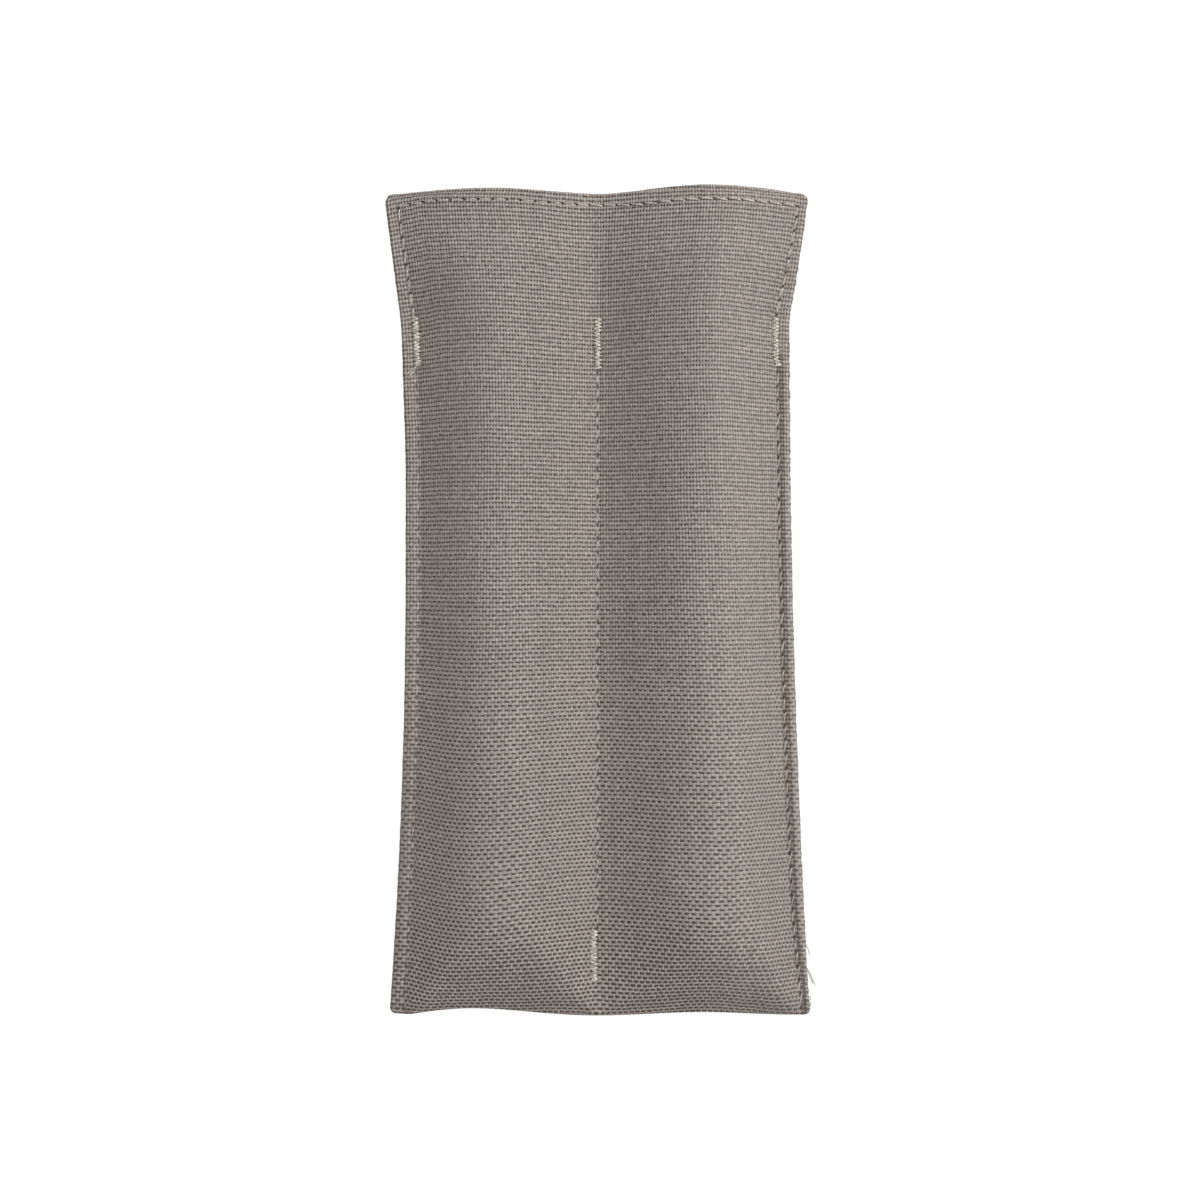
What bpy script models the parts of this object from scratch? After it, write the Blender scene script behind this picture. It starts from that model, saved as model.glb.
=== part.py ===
# Double pen case: a strip of coarse woven nylon, folded at its foot and sewn into two pen channels side by side.
# The case lies on its back: X runs across it, Y towards its mouth and Z out of its front. Lengths are in metres.

import math

import bmesh
import bpy
from mathutils import Vector

# Driving dimensions of the case
CASE_LENGTH = 0.1714
WAIST_HALF_WIDTH = 0.0398
LIP_DEPTH = 0.0267
RIDGE_RISE = 0.0085
VALLEY_DEPTH = 0.0058

# Cloth and its turned hems
CLOTH = 0.0005
TOUCH_GAP = 0.0003
FOLD_GAP = 0.0002
HEM = 0.008
CORNER_RADIUS = 0.0013
CORNER_NOTCH = 0.0009
MITRE_GAP = 0.0004

# Stitching
THREAD_RADIUS = 0.0002
THREAD_SEAT = 0.0003
STITCH_PITCH = 0.0029
STITCH_CREST = 0.00025
STITCH_FLAT = 0.001
DIVIDER_FLAT = 0.0011
MOUTH_MARGIN = 0.0029
SEAM_FOOT_INSET = 0.0012
BARTACK_LENGTH = 0.0108
BARTACK_WIDTH = 0.0016
BARTACK_INSET = 0.0006
BARTACK_PASSES = 14
DIVIDER_FOOT_INSET = 0.0069

# How the cloth puffs and flares
FLARE_START = 0.011
LIP_BAND_SHARE = 0.35
RIDGE_ROUND_SHARE = 0.55
BACK_FLANK_SHARE = 0.3
RIDGE_DRIFT_REACH = 0.025
FOLD_STRETCH_SHARE = 1.1
CREASE_DROP = 0.0013
MOUTH_CORNER_DROP = 0.0018
FRONT = {
    "face": 1,
    "crest": RIDGE_RISE,
    "mouth_crest_change": -0.0019,
    "slit_opening": 0.0021,
    "crease_opening": 0.0023,
}
BACK = {
    "face": -1,
    "crest": VALLEY_DEPTH,
    "mouth_crest_change": -0.0012,
    "slit_opening": 0.0019,
    "crease_opening": 0.0023,
}
LEFT = {
    "sign": -1,
    "ridge_share": 0.38,
    "foot_ridge_share": 0.46,
    "mouth_ridge_share": 0.47,
    "mouth_flare": 0.0042,
    "foot_flare": 0.0035,
    "foot_flare_reach": 0.076,
    "seam_margin": 0.0026,
    "lip_margin": 0.0031,
    "fold_draw": 0.0017,
    "corner_lift": 0.0009,
    "mouth_wave": 0.0008,
}
RIGHT = {
    "sign": 1,
    "ridge_share": 0.51,
    "foot_ridge_share": 0.6,
    "mouth_ridge_share": 0.51,
    "mouth_flare": 0.0036,
    "foot_flare": 0.0042,
    "foot_flare_reach": 0.136,
    "seam_margin": 0.0023,
    "lip_margin": 0.0025,
    "fold_draw": 0.0008,
    "corner_lift": 0.0,
    "mouth_wave": 0.0016,
}

# The lips bend about the crests of the cloth at the bartacks' tops
HINGE_RISE = 0.0002

# Resolution of the solids
CHANNEL_STEPS = 9
PANEL_STEPS = 10
FOLD_STEPS = 4
LIP_STEPS = 5
HEM_TURN_STEPS = 3
HEM_STEPS = 2
TRACE_STEPS = 60
NORMAL_STEP_SHARE = 0.01

# Sizes that follow from those above
FOLD_Y = -CASE_LENGTH / 2
TOP_Y = CASE_LENGTH / 2
HINGE_Y = TOP_Y - LIP_DEPTH
FLARE_Y = HINGE_Y - FLARE_START
MID_Z = VALLEY_DEPTH + CLOTH / 2
PLY_STEP = CLOTH + FOLD_GAP
TURN_RADIUS = PLY_STEP / 2
FOLD_REACH = TURN_RADIUS + CLOTH / 2
SIDE_REST = TOUCH_GAP / 2 + CLOTH / 2 + PLY_STEP
DIVIDER_REST = TOUCH_GAP / 2 + CLOTH / 2
THREAD_REST = CLOTH / 2 + THREAD_SEAT + THREAD_RADIUS
BARTACK_TOP_Y = HINGE_Y - BARTACK_INSET
BARTACK_END_Y = BARTACK_TOP_Y - BARTACK_LENGTH
FOOT_BARTACK_Y = FOLD_Y + DIVIDER_FOOT_INSET
THREAD_ENDS_GAP = THREAD_SEAT + 2 * THREAD_RADIUS


def clamp(share):
    return min(max(share, 0), 1)


def ease(share):
    """From 0 to 1, level at both ends."""
    share = clamp(share)
    return share * share * (3 - 2 * share)


def between(low, high, share):
    return low + (high - low) * share


def lip_share(y):
    return clamp((y - HINGE_Y) / LIP_DEPTH)


def mouth_share(y):
    return ease((y - FLARE_Y) / (TOP_Y - FLARE_Y))


def ridge_share(side, y):
    """Where the channel's crest lies, from 0 at its side seam to 1 at the divider."""
    foot = ease(1 - (y - FOLD_Y) / RIDGE_DRIFT_REACH)
    share = between(side["ridge_share"], side["foot_ridge_share"], foot)
    return between(share, side["mouth_ridge_share"], mouth_share(y))


def tent(share, ridge):
    """A channel's front: two straight flanks that meet in a rounded ridge of height 1."""
    up = share / ridge
    down = (1 - share) / (1 - ridge)
    overlap = max(RIDGE_ROUND_SHARE - abs(up - down), 0)
    soft = min(up, down) - overlap**2 / (4 * RIDGE_ROUND_SHARE)
    return soft / (1 - RIDGE_ROUND_SHARE / 4)


def trough(share):
    """A channel's back: two curved flanks and the flat that the case lies on."""
    run = min(share, 1 - share) / BACK_FLANK_SHARE
    return math.sin(math.pi / 2 * clamp(run))


def lowest_rise(layer, share, y):
    """Height over the middle plane with no puff: the seams hold the cloth down, and the lips part."""
    lip = lip_share(y)
    side_rise = SIDE_REST + layer["slit_opening"] * (1 - (1 - lip) ** 2)
    divider_rise = DIVIDER_REST + layer["crease_opening"] * ease(lip)
    return between(side_rise, divider_rise, share)


def rise(layer, side, share, y):
    low = lowest_rise(layer, share, y)
    crest = layer["crest"] + layer["mouth_crest_change"] * ease(lip_share(y))
    form = tent(share, ridge_share(side, y)) if layer is FRONT else trough(share)
    return between(low, crest, form)


def fold_line(side, share):
    """Y of the bottom fold, which the puffed channels draw up."""
    draw = side["fold_draw"] * math.sin(math.pi * share)
    return FOLD_Y + CLOTH / 2 + draw + side["corner_lift"] * (1 - share)


def fold_run(layer, side, share):
    """How far the cloth runs from the fold's tip before it lies level."""
    y = fold_line(side, share)
    height = rise(layer, side, share, y)
    return height + FOLD_STRETCH_SHARE * (height - lowest_rise(layer, share, y))


def mouth_line(side, share):
    drop = between(MOUTH_CORNER_DROP, CREASE_DROP, share)
    return TOP_Y - drop + side["mouth_wave"] * tent(share, side["mouth_ridge_share"])


def corner_cut(distance):
    """What a rounded corner takes off the width, this far along the side from its end."""
    left = CORNER_RADIUS * clamp(1 - distance / CORNER_RADIUS)
    return CORNER_RADIUS - math.sqrt(CORNER_RADIUS**2 - left**2)


def half_width(side, y):
    foot_share = clamp(1 - (y - FOLD_Y) / side["foot_flare_reach"])
    flare = side["mouth_flare"] * mouth_share(y) + side["foot_flare"] * foot_share**2
    cut = corner_cut(y - fold_line(side, 0)) + corner_cut(mouth_line(side, 0) - y)
    return WAIST_HALF_WIDTH + flare - cut


def band_width(side, y):
    """The flat band along an edge, from the fold of its hem to where the channel starts."""
    band = side["seam_margin"] + STITCH_FLAT - FOLD_REACH
    return band * between(1, LIP_BAND_SHARE, ease(lip_share(y)))


def channel_width(side, y):
    return half_width(side, y) - FOLD_REACH - band_width(side, y) - DIVIDER_FLAT


def across_at(side, inset, y):
    """The across value this far in from the hem's fold."""
    band = band_width(side, y)
    if inset < band:
        return inset / band
    return 1 + (inset - band) / channel_width(side, y)


def cloth_point(layer, side, across, y, height):
    """across is 0 at the hem's fold, 1 to 2 over the channel and 3 on the divider."""
    inset = min(across, 1) * band_width(side, y) + clamp(across - 1) * channel_width(side, y)
    x = half_width(side, y) - FOLD_REACH - inset - DIVIDER_FLAT * clamp(across - 2)
    return Vector((side["sign"] * x, y, MID_Z + layer["face"] * height))


def fold_point(layer, side, across, turn):
    """The bottom fold: turn is 0 at its tip and 1 where this layer lies level."""
    share = clamp(across - 1)
    angle = turn * math.pi / 2
    y = fold_line(side, share) + fold_run(layer, side, share) * (1 - math.cos(angle))
    return cloth_point(layer, side, across, y, rise(layer, side, share, y) * math.sin(angle))


def panel_point(layer, side, across, along):
    share = clamp(across - 1)
    start = fold_line(side, share) + fold_run(layer, side, share)
    if layer is BACK:
        start += TOUCH_GAP
    y = between(start, HINGE_Y - TOUCH_GAP / 2, along)
    return cloth_point(layer, side, across, y, rise(layer, side, share, y))


def lip_length(side, share):
    return mouth_line(side, share) - FOLD_REACH - HINGE_Y - TOUCH_GAP / 2


def lip_point(layer, side, across, along):
    share = clamp(across - 1)
    y = HINGE_Y + TOUCH_GAP / 2 + along * lip_length(side, share)
    return cloth_point(layer, side, across, y, rise(layer, side, share, y))


def normal_at(place, layer, side, across, along):
    """The direction out of the case."""
    step = NORMAL_STEP_SHARE
    over = place(layer, side, across + step, along) - place(layer, side, across - step, along)
    up = place(layer, side, across, along + step) - place(layer, side, across, along - step)
    return over.cross(up).normalized() * -side["sign"] * layer["face"]


def turned_point(edge, normal, outward, angle):
    """A point on the round of a hem, from the outer ply at angle 0 to the inner ply at pi."""
    out = (outward - normal * outward.dot(normal)).normalized()
    return edge + TURN_RADIUS * (normal * (math.cos(angle) - 1) + out * math.sin(angle))


def side_hem_point(place, layer, side, step, along, reach):
    """Step 0 is the hem's fold on the outer ply, and the last step is the raw edge inside."""
    normal = normal_at(place, layer, side, 0, along)
    edge = place(layer, side, 0, along)
    if step <= HEM_TURN_STEPS:
        outward = Vector((side["sign"], 0, 0))
        return turned_point(edge, normal, outward, math.pi * step / HEM_TURN_STEPS)
    inset = reach
    if step == HEM_TURN_STEPS + 1:
        inset = min(reach / HEM_STEPS, band_width(side, edge.y))
    across = across_at(side, inset, edge.y)
    inner = normal_at(place, layer, side, across, along)
    return place(layer, side, across, along) - inner * PLY_STEP


def mouth_hem_point(layer, side, across, step):
    """Step 0 is the mouth's fold on the outer ply, and the last step is the raw edge inside."""
    normal = normal_at(lip_point, layer, side, across, 1)
    edge = lip_point(layer, side, across, 1)
    if step <= HEM_TURN_STEPS:
        return turned_point(edge, normal, Vector((0, 1, 0)), math.pi * step / HEM_TURN_STEPS)
    from_side = half_width(side, edge.y) - FOLD_REACH - abs(edge.x)
    reach = min(HEM, from_side - MITRE_GAP)
    along = 1 - reach * (step - HEM_TURN_STEPS) / HEM_STEPS / lip_length(side, clamp(across - 1))
    inner = normal_at(lip_point, layer, side, across, along)
    return lip_point(layer, side, across, along) - inner * PLY_STEP


def add_patch(mesh, columns, rows, place):
    """A grid whose vertices go to place(column, row)."""
    grid = bmesh.ops.create_grid(mesh, x_segments=len(columns) - 1, y_segments=len(rows) - 1, size=1)
    for vertex in grid["verts"]:
        column = round((vertex.co.x + 1) / 2 * (len(columns) - 1))
        row = round((vertex.co.y + 1) / 2 * (len(rows) - 1))
        vertex.co = place(columns[column], rows[row])


def across_columns(first):
    """(side, across) over the whole width, starting on each side at its across value first."""
    values = [first] + [1 + step / CHANNEL_STEPS for step in range(CHANNEL_STEPS + 1)]
    values = sorted(set(values))
    return [(LEFT, value) for value in values] + [(LEFT, 3)] + [(RIGHT, value) for value in reversed(values)]


def panel_rows(layer):
    """(place, layer, along) up the cloth: the front panel starts under the fold, on the back."""
    rows = []
    if layer is FRONT:
        rows = [(fold_point, BACK, 1 - step / FOLD_STEPS) for step in range(FOLD_STEPS)]
        rows += [(fold_point, FRONT, step / FOLD_STEPS) for step in range(FOLD_STEPS)]
    return rows + [(panel_point, layer, step / PANEL_STEPS) for step in range(PANEL_STEPS + 1)]


def lip_rows(layer):
    top = 1 - CORNER_NOTCH / lip_length(LEFT, 0)
    rows = [(lip_point, layer, top * step / LIP_STEPS) for step in range(LIP_STEPS + 1)]
    return rows + [(lip_point, layer, 1)]


def cloth_sheet(layer, rows, has_mouth):
    """The middle surface of one piece of cloth with its turned hems."""
    mesh = bmesh.new()
    add_patch(
        mesh,
        across_columns(0),
        rows,
        lambda column, row: row[0](row[1], column[0], column[1], row[2]),
    )
    hem_rows = rows[:-1] if has_mouth else rows
    for side in (LEFT, RIGHT):

        def side_hem(step, row, side=side):
            reach = HEM
            if has_mouth:
                to_mouth = (1 - row[2]) * lip_length(side, 0)
                reach = min(HEM, to_mouth - MITRE_GAP)
            return side_hem_point(row[0], row[1], side, step, row[2], reach)

        add_patch(mesh, range(HEM_TURN_STEPS + HEM_STEPS + 1), hem_rows, side_hem)
    if has_mouth:
        add_patch(
            mesh,
            across_columns(1),
            range(HEM_TURN_STEPS + HEM_STEPS + 1),
            lambda column, step: mouth_hem_point(layer, column[0], column[1], step),
        )
    bmesh.ops.remove_doubles(mesh, verts=mesh.verts, dist=CLOTH / 100)
    bmesh.ops.recalc_face_normals(mesh, faces=mesh.faces)
    return mesh


def material(name, colour, roughness):
    made = bpy.data.materials.new(name)
    made.use_nodes = True
    shader = made.node_tree.nodes["Principled BSDF"]
    shader.inputs["Base Color"].default_value = (*colour, 1)
    shader.inputs["Roughness"].default_value = roughness
    shader.inputs["Metallic"].default_value = 0
    return made


def place_object(name, data, finish, hinge):
    made = bpy.data.objects.new(name, data)
    data.materials.append(finish)
    case.objects.link(made)
    if hinge:
        made.parent = hinge
    return made


def hinge_at(name, z):
    hinge = bpy.data.objects.new(name, None)
    hinge.location = (0, HINGE_Y, z)
    case.objects.link(hinge)
    return hinge


def origin_of(hinge):
    return hinge.location.copy() if hinge else Vector()


def add_cloth(name, layer, rows, hinge=None):
    sheet = cloth_sheet(layer, rows, rows[0][0] is lip_point)
    bmesh.ops.translate(sheet, verts=sheet.verts, vec=-origin_of(hinge))
    data = bpy.data.meshes.new(name)
    sheet.to_mesh(data)
    sheet.free()
    made = place_object(name, data, cloth_finish, hinge)
    solid = made.modifiers.new("cloth thickness", "SOLIDIFY")
    solid.thickness = CLOTH
    solid.offset = 0
    solid.use_even_offset = True
    data.shade_smooth()
    data.set_sharp_from_angle(angle=math.radians(40))


def add_thread(name, points, finish, hinge=None):
    """A round thread through the points."""
    data = bpy.data.curves.new(name, "CURVE")
    data.dimensions = "3D"
    data.bevel_depth = THREAD_RADIUS
    data.bevel_resolution = 0
    data.use_fill_caps = True
    spline = data.splines.new("POLY")
    spline.points.add(len(points) - 1)
    for spot, point in zip(spline.points, points):
        spot.co = (*(point - origin_of(hinge)), 1)
    place_object(name, data, finish, hinge)


def evenly(track, count):
    """(point, normal) at count equal steps along a finely traced line."""
    lengths = [0]
    for start, end in zip(track, track[1:]):
        lengths.append(lengths[-1] + (end[0] - start[0]).length)
    spots = []
    at = 0
    for step in range(count + 1):
        wanted = lengths[-1] * step / count
        while at < len(track) - 2 and lengths[at + 1] < wanted:
            at += 1
        share = (wanted - lengths[at]) / (lengths[at + 1] - lengths[at])
        point = track[at][0].lerp(track[at + 1][0], share)
        spots.append((point, track[at][1].lerp(track[at + 1][1], share).normalized()))
    return spots


def stitches_on(track):
    return round(sum((b[0] - a[0]).length for a, b in zip(track, track[1:])) / STITCH_PITCH)


def needle_thread(track):
    """The thread dips to its needle hole between stitches and crests over each stitch."""
    spots = evenly(track, 2 * stitches_on(track))
    return [
        point + normal * (THREAD_REST + STITCH_CREST * (step % 2))
        for step, (point, normal) in enumerate(spots)
    ]


def bobbin_thread(track, depth):
    """The thread from under the needle plate, pulled nearly straight."""
    spots = evenly(track, stitches_on(track))
    return [point + normal * depth for point, normal in spots]


def seam_track(layer, side, inset_of, low_y, high_y):
    """A line up a panel. inset_of gives the across value at a height."""
    track = []
    share = clamp(inset_of(high_y) - 1)
    start = panel_point(layer, side, 1 + share, 0).y
    end = panel_point(layer, side, 1 + share, 1).y
    for step in range(TRACE_STEPS + 1):
        y = between(low_y, high_y, step / TRACE_STEPS)
        along = (y - start) / (end - start)
        across = inset_of(y)
        track.append((panel_point(layer, side, across, along), normal_at(panel_point, layer, side, across, along)))
    return track


def side_across(side):
    return lambda y: across_at(side, side["seam_margin"] - FOLD_REACH, y)


def divider_across(y):
    return 3


def divider_track(layer, low_y, high_y):
    """The divider's line, whose normal is square to the case."""
    track = seam_track(layer, LEFT, divider_across, low_y, high_y)
    return [(point, Vector((0, 0, layer["face"]))) for point, normal in track]


def hem_track(layer, first):
    """A lip's stitch line: up its left side, along the mouth and down its right side."""
    track = []

    def top_along(side, across):
        return 1 - (MOUTH_MARGIN - FOLD_REACH) / lip_length(side, clamp(across - 1))

    def side_across_at(side, along):
        y = lip_point(layer, side, 0, along).y
        return across_at(side, side["lip_margin"] - FOLD_REACH, y)

    def add(side, across, along):
        track.append((lip_point(layer, side, across, along), normal_at(lip_point, layer, side, across, along)))

    corner = {}
    for side in (LEFT, RIGHT):
        corner[side["sign"]] = side_across_at(side, top_along(side, 1))
    for step in range(TRACE_STEPS):
        along = between(first, top_along(LEFT, 1), step / TRACE_STEPS)
        add(LEFT, side_across_at(LEFT, along), along)
    for side, steps in ((LEFT, range(TRACE_STEPS)), (RIGHT, range(TRACE_STEPS, -1, -1))):
        for step in steps:
            across = between(corner[side["sign"]], 3, step / TRACE_STEPS)
            add(side, across, top_along(side, across))
    for step in range(TRACE_STEPS - 1, -1, -1):
        along = between(first, top_along(RIGHT, 1), step / TRACE_STEPS)
        add(RIGHT, side_across_at(RIGHT, along), along)
    return track


def bartack(track):
    """Close passes from side to side over a seam's end, as one thread."""
    points = []
    for step, (point, normal) in enumerate(evenly(track, 2 * BARTACK_PASSES - 1)):
        pass_sign = 1 if (step + 1) // 2 % 2 else -1
        sideways = Vector((0, 1, 0)).cross(normal).normalized()
        points.append(point + normal * THREAD_REST + sideways * pass_sign * BARTACK_WIDTH / 2)
    return points


for old in list(bpy.data.objects):
    bpy.data.objects.remove(old, do_unlink=True)

case = bpy.data.collections.new("double_pen_case")
bpy.context.scene.collection.children.link(case)

cloth_finish = material("coarse woven nylon", (0.24, 0.205, 0.175), 0.85)
thread_finish = material("taupe polyester thread", (0.2, 0.17, 0.145), 0.6)
bartack_finish = material("cream polyester thread", (0.62, 0.57, 0.48), 0.55)

front_hinge = hinge_at("front_lip_hinge", MID_Z + RIDGE_RISE + CLOTH / 2 + HINGE_RISE)
back_hinge = hinge_at("back_lip_hinge", MID_Z - VALLEY_DEPTH - CLOTH / 2 - HINGE_RISE)

add_cloth("front_panel", FRONT, panel_rows(FRONT))
add_cloth("back_panel", BACK, panel_rows(BACK))
add_cloth("front_lip", FRONT, lip_rows(FRONT), front_hinge)
add_cloth("back_lip", BACK, lip_rows(BACK), back_hinge)

# Each lip's hem has a needle thread outside and a bobbin thread inside, which starts where the lips have parted
inner_rest = -(THREAD_REST + PLY_STEP)
for name, layer, hinge in (("front_hem", FRONT, front_hinge), ("back_hem", BACK, back_hinge)):
    parting = (TOUCH_GAP + THREAD_REST + THREAD_RADIUS - CLOTH / 2) / layer["slit_opening"]
    parted = 1 - math.sqrt(1 - parting)
    hem_start = THREAD_ENDS_GAP / LIP_DEPTH
    add_thread(name + "_needle_thread", needle_thread(hem_track(layer, hem_start)), thread_finish, hinge)
    add_thread(name + "_bobbin_thread", bobbin_thread(hem_track(layer, parted), inner_rest), thread_finish, hinge)

# The side seams go through both layers and end at their bartacks
for name, side in (("left", LEFT), ("right", RIGHT)):
    foot_y = max(panel_point(layer, side, 0, 0).y for layer in (FRONT, BACK)) + SEAM_FOOT_INSET
    seam_top_y = BARTACK_END_Y - THREAD_ENDS_GAP
    tracks = [seam_track(layer, side, side_across(side), foot_y, seam_top_y) for layer in (FRONT, BACK)]
    add_thread(name + "_seam_needle_thread", needle_thread(tracks[0]), thread_finish)
    add_thread(name + "_seam_bobbin_thread", bobbin_thread(tracks[1], THREAD_REST), thread_finish)
    for layer, thread in ((FRONT, "needle"), (BACK, "bobbin")):
        track = seam_track(layer, side, side_across(side), BARTACK_END_Y, BARTACK_TOP_Y)
        add_thread(f"{name}_bartack_{thread}_thread", bartack(track), bartack_finish)

# The divider's seam runs from the bartack under the mouth to the one over the fold
divider_low_y = FOOT_BARTACK_Y + BARTACK_LENGTH + THREAD_ENDS_GAP
divider_high_y = BARTACK_END_Y - THREAD_ENDS_GAP
divider_front = divider_track(FRONT, divider_low_y, divider_high_y)
divider_back = divider_track(BACK, divider_low_y, divider_high_y)
add_thread("divider_seam_needle_thread", needle_thread(divider_front), thread_finish)
add_thread("divider_seam_bobbin_thread", bobbin_thread(divider_back, THREAD_REST), thread_finish)
for layer, thread in ((FRONT, "needle"), (BACK, "bobbin")):
    mouth_end = divider_track(layer, BARTACK_END_Y, BARTACK_TOP_Y)
    fold_end = divider_track(layer, FOOT_BARTACK_Y, FOOT_BARTACK_Y + BARTACK_LENGTH)
    add_thread(f"divider_mouth_bartack_{thread}_thread", bartack(mouth_end), bartack_finish)
    add_thread(f"divider_foot_bartack_{thread}_thread", bartack(fold_end), bartack_finish)
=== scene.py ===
# Double pen case of coarse woven nylon: the cloth, its sewing and a plain studio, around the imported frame.
# It lies on its back: X across, Y towards the mouth, Z out of the front. Lengths are in metres.

import math
import random
from functools import partial

import bmesh
import bpy
import numpy as np
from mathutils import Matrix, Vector, kdtree, noise


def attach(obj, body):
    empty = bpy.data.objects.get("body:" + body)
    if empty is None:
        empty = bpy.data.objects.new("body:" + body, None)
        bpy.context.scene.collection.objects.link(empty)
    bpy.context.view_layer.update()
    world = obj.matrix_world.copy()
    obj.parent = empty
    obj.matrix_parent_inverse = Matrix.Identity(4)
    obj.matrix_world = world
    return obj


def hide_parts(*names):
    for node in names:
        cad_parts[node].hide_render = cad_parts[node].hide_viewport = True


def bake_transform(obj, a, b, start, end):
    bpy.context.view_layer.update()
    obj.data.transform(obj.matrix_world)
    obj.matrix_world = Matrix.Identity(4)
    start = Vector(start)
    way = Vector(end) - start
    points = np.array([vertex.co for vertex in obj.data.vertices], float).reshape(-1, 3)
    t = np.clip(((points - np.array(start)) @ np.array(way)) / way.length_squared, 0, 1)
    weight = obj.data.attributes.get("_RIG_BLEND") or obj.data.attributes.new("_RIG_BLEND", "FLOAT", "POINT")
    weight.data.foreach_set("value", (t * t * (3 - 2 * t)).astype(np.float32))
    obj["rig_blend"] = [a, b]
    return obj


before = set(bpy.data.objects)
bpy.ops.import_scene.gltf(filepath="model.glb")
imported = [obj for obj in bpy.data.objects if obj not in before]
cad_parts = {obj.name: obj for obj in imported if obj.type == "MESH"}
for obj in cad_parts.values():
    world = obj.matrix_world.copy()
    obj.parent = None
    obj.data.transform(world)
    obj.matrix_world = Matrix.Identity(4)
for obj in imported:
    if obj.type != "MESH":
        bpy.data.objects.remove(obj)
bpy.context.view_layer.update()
scene = bpy.context.scene
print("frame loaded:", len(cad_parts), "nodes")

# the form of the case, as in its CAD
case = {
    "length": 0.1714,
    "waistHalfWidth": 0.0398,
    "lipDepth": 0.0267,
    "cloth": 0.0005,  # thickness
    "touchGap": 0.0003,
    "foldGap": 0.0002,
    "hem": 0.008,
    "footCornerRadius": 0.0009,
    "mitreGap": 0.0003,
    "stitchFlat": 0.0005,
    "dividerFlat": 0.0006,
    "flareStart": 0.011,
    "lipBandShare": 0.35,
    "backFlankShare": 0.3,
    "ridgeDriftReach": 0.025,
    "foldStretchShare": 1.6,
    "foldWedge": 0.92,
    "foldWedgePower": 1.6,
    "foldWedgeShare": 0.25,
    "creaseDrop": 0.0014,
    "mouthBandShare": 0.04,
    "mouthPeak": 0.5,
    "mouthSkew": 0.66,
    "leanReach": 0.05,
    "rollFootReach": 0.012,
    "rollTopReach": 0.03,
    "tackShiftReach": 0.003,
}
layers = {
    "face": (1, -1),  # the front's value, then the back's
    "crest": (0.0085, 0.0058),
    "mouthCrestChange": (-0.0019, -0.0012),
    "slitOpening": (0.0021, 0.0019),
    "creaseOpening": (0.0023, 0.0023),
}
sides = {
    "sign": (-1, 1),  # the left side's value, then the right's
    "crestShare": (0.94, 1),
    "ridgeShare": (0.435, 0.425),
    "footRidgeShare": (0.5, 0.28),
    "mouthRidgeShare": (0.44, 0.445),
    "outerSoftness": (0.25, 0.4),
    "innerSoftness": (0.2, 0.5),
    "flareY": (0.0561, 0.0598),
    "flareOnset": (0.16, 0),
    "flareSoftness": (0.15, 0.1),
    "flareBow": (1, 0.8),
    "mouthFlare": (0.0044, 0.0039),
    "footFlare": (0.0034, 0.0043),
    "footFlareReach": (0.095, 0.15),
    "seamMargin": (0.0028, 0.0026),
    "footMargin": (0.0028, 0.0018),
    "hingeMargin": (0.0028, 0.003),
    "lipMargin": (0.0026, 0.0016),
    "cornerMargin": (0.0029, 0.003),
    "mouthMargin": (0.0024, 0.003),
    "tackMargin": (0.0031, 0.003),
    "tackLength": (0.0102, 0.01),
    "tackFootShift": (0.0003, -0.0005),
    "hemStart": (-0.0008, 0.0007),
    "roll": (0.0002, 0.00045),
    "bandLean": (0.3, 0),
    "bandSlant": (0, 0.7),
    "unevenEdge": (0.15, 0.4),
    "foldDraw": (0.0013, 0.0006),
    "foldSkew": (0.7, 1),
    "cornerLift": (0.0003, 0.0002),
    "mouthCornerRadius": (0.0021, 0.0014),
    "peakDrop": (0.0008, 0.00016),
    "cornerDrop": (0.0017, 0.0017),
    "rowsFollow": (1, 0.45),
    "weftDroop": (0.0013, 0.0002),  # the weft rows hang this much lower on the channel near the foot,
    "weftDroopSkew": (0.6, 0.6),
    "foldDroop": (0.0008, 0.0004),  # this much more at the fold,
    "foldDroopSkew": (1, 0.6),
    "edgeDroop": (0.0005, 0.0008),  # and this much near the mouth, next to the side
}
tack = {
    "length": 0.0105,
    "width": 0.0015,
    "crown": 0.00055,
    "stray": 0.00014,  # how far each pass is off its even place
    "inset": 0.0001,
    "passes": 28,
    "footInset": 0.0074,
    "footAside": -0.0008,
    "radius": 0.00016,
    "under": 0.00024,
    "reachSpread": (0.7, 1.15),
    "pointsPerPass": 8,
    "passRound": 2.5,
    "plyShare": 0.56,
    "paddingSteps": 30,  # two straight threads lie under the passes
    "paddingRise": 0.6,
    "paddingAside": 0.00028,
}


# one dictionary for each column of a table
def columnsOf(table):
    return [dict(zip(table, column)) for column in zip(*table.values())]


front, back = columnsOf(layers)
left, right = columnsOf(sides)
foldY = -case["length"] / 2
topY = case["length"] / 2
hingeY = topY - case["lipDepth"]
flareY = hingeY - case["flareStart"]
tackTopY = hingeY - tack["inset"]
tackEndY = tackTopY - tack["length"]
footTackY = foldY + tack["footInset"]
halfCloth = case["cloth"] / 2
midZ = back["crest"] + halfCloth
plyStep = case["cloth"] + case["foldGap"]
turnRadius = plyStep / 2
foldReach = turnRadius + halfCloth
sideRest = case["touchGap"] / 2 + halfCloth + plyStep
dividerRest = case["touchGap"] / 2 + halfCloth


def clamp(share):
    return min(max(share, 0), 1)


def ease(share):
    share = clamp(share)
    return share * share * (3 - 2 * share)


def between(low, high, share):
    return low + (high - low) * share


def parts(count):
    return [step / count for step in range(count)]


def lipShare(y):
    return clamp((y - hingeY) / case["lipDepth"])


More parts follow.
